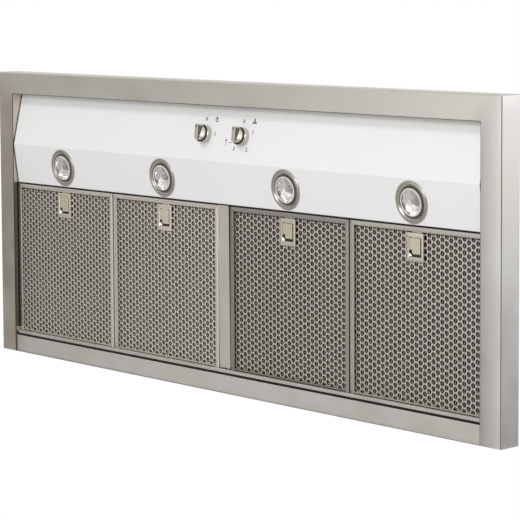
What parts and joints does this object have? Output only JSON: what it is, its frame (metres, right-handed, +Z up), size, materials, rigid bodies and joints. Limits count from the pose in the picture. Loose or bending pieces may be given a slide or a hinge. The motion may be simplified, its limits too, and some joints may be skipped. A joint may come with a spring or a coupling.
{
  "type": "range hood",
  "caption": "Wall-mounted canopy range hood with a telescoping chimney, drop-down grease filters with slide latches, rotary control knobs and recessed lamps.",
  "frame": {"origin": "on the wall, at the middle of the hood's lower rear edge, level with the rim's underside", "axes": "+X to the right along the wall as seen from the room, +Y into the wall, +Z up"},
  "size_m": [1.2, 0.5, 0.5538],
  "materials": {
    "stainless": "satin",
    "zinc_sheet": "satin",
    "white_paint": "satin",
    "satin_nickel": "satin",
    "lens_glass": "gloss",
    "lamp_ceramic": "matte",
    "filter_aluminium": "satin",
    "knitted_mesh": "matte",
    "latch_zinc": "satin",
    "black_plastic": "matte",
    "motor_iron": "matte",
    "bright_steel": "satin"
  },
  "bodies": {
    "hood": {"rim_frame": "stainless", "canopy": "stainless", "rear_panel": "stainless", "rear_bar": "stainless", "filter_rail": "stainless", "centre_divider": "stainless", "chimney_lower": "stainless", "front_ledge": "zinc_sheet", "blower_deck": "zinc_sheet", "scroll_housing": "zinc_sheet", "outlet_spigot": "zinc_sheet", "control_panel": "white_paint", "lamp_bezel_1": "satin_nickel", "lamp_bezel_2": "satin_nickel", "lamp_bezel_3": "satin_nickel", "lamp_bezel_4": "satin_nickel", "lamp_lens_1": "lens_glass", "lamp_lens_2": "lens_glass", "lamp_lens_3": "lens_glass", "lamp_lens_4": "lens_glass", "lamp_bulb_1": "lamp_ceramic", "lamp_bulb_2": "lamp_ceramic", "lamp_bulb_3": "lamp_ceramic", "lamp_bulb_4": "lamp_ceramic", "light_switch": "black_plastic", "fan_switch": "black_plastic", "junction_box": "black_plastic", "cable_gland": "black_plastic", "motor": "motor_iron", "transformer": "motor_iron", "damper_pin": "bright_steel", "body_screws": "bright_steel"},
    "light_knob": {"light_knob": "satin_nickel"},
    "fan_knob": {"fan_knob": "satin_nickel"},
    "fan": {"impeller": "black_plastic", "motor_shaft": "bright_steel"},
    "damper_front": {"damper_front": "black_plastic"},
    "damper_rear": {"damper_rear": "black_plastic"},
    "chimney_upper": {"chimney_upper": "stainless"},
    "filter_1": {"filter_frame_1": "filter_aluminium", "filter_mesh_1": "filter_aluminium", "filter_pad_1": "knitted_mesh", "latch_plate_1": "latch_zinc"},
    "latch_1": {"latch_slide_1": "latch_zinc"},
    "filter_2": {"filter_frame_2": "filter_aluminium", "filter_mesh_2": "filter_aluminium", "filter_pad_2": "knitted_mesh", "latch_plate_2": "latch_zinc"},
    "latch_2": {"latch_slide_2": "latch_zinc"},
    "filter_3": {"filter_frame_3": "filter_aluminium", "filter_mesh_3": "filter_aluminium", "filter_pad_3": "knitted_mesh", "latch_plate_3": "latch_zinc"},
    "latch_3": {"latch_slide_3": "latch_zinc"},
    "filter_4": {"filter_frame_4": "filter_aluminium", "filter_mesh_4": "filter_aluminium", "filter_pad_4": "knitted_mesh", "latch_plate_4": "latch_zinc"},
    "latch_4": {"latch_slide_4": "latch_zinc"}
  },
  "joints": [
    {"name": "light_knob_turn", "type": "hinge", "parent": "hood", "child": "light_knob", "pos_m": [-0.045, -0.4143, 0.0105], "axis": [0, 0.2245, 0.9745], "range_deg": [0, 90]},
    {"name": "fan_knob_turn", "type": "hinge", "parent": "hood", "child": "fan_knob", "pos_m": [0.045, -0.4143, 0.0105], "axis": [0, 0.2245, 0.9745], "range_deg": [0, 288]},
    {"name": "filter_1_drop", "type": "hinge", "parent": "hood", "child": "filter_1", "pos_m": [-0.42362, -0.0348, 0.0057], "axis": [1, 0, 0], "range_deg": [0, 40]},
    {"name": "latch_1_pull", "type": "slide", "parent": "filter_1", "child": "latch_1", "axis": [0, 1, 0], "range_m": [0, 0.004], "stiffness_N_per_m": 500, "springref_m": -0.004},
    {"name": "filter_2_drop", "type": "hinge", "parent": "hood", "child": "filter_2", "pos_m": [-0.14988, -0.0348, 0.0057], "axis": [1, 0, 0], "range_deg": [0, 40]},
    {"name": "latch_2_pull", "type": "slide", "parent": "filter_2", "child": "latch_2", "axis": [0, 1, 0], "range_m": [0, 0.004], "stiffness_N_per_m": 500, "springref_m": -0.004},
    {"name": "filter_3_drop", "type": "hinge", "parent": "hood", "child": "filter_3", "pos_m": [0.14988, -0.0348, 0.0057], "axis": [1, 0, 0], "range_deg": [0, 40]},
    {"name": "latch_3_pull", "type": "slide", "parent": "filter_3", "child": "latch_3", "axis": [0, 1, 0], "range_m": [0, 0.004], "stiffness_N_per_m": 500, "springref_m": -0.004},
    {"name": "filter_4_drop", "type": "hinge", "parent": "hood", "child": "filter_4", "pos_m": [0.42362, -0.0348, 0.0057], "axis": [1, 0, 0], "range_deg": [0, 40]},
    {"name": "latch_4_pull", "type": "slide", "parent": "filter_4", "child": "latch_4", "axis": [0, 1, 0], "range_m": [0, 0.004], "stiffness_N_per_m": 500, "springref_m": -0.004},
    {"name": "fan_spin", "type": "hinge", "parent": "hood", "child": "fan", "pos_m": [0, -0.097, 0.142], "axis": [1, 0, 0], "continuous": true},
    {"name": "damper_front_lift", "type": "hinge", "parent": "hood", "child": "damper_front", "pos_m": [0, -0.13, 0.2695], "axis": [-1, 0, 0], "range_deg": [0, 75]},
    {"name": "damper_rear_lift", "type": "hinge", "parent": "hood", "child": "damper_rear", "pos_m": [0, -0.13, 0.2695], "axis": [1, 0, 0], "range_deg": [0, 75]},
    {"name": "chimney_extend", "type": "slide", "parent": "hood", "child": "chimney_upper", "axis": [0, 0, 1], "range_m": [0, 0.22]}
  ]
}
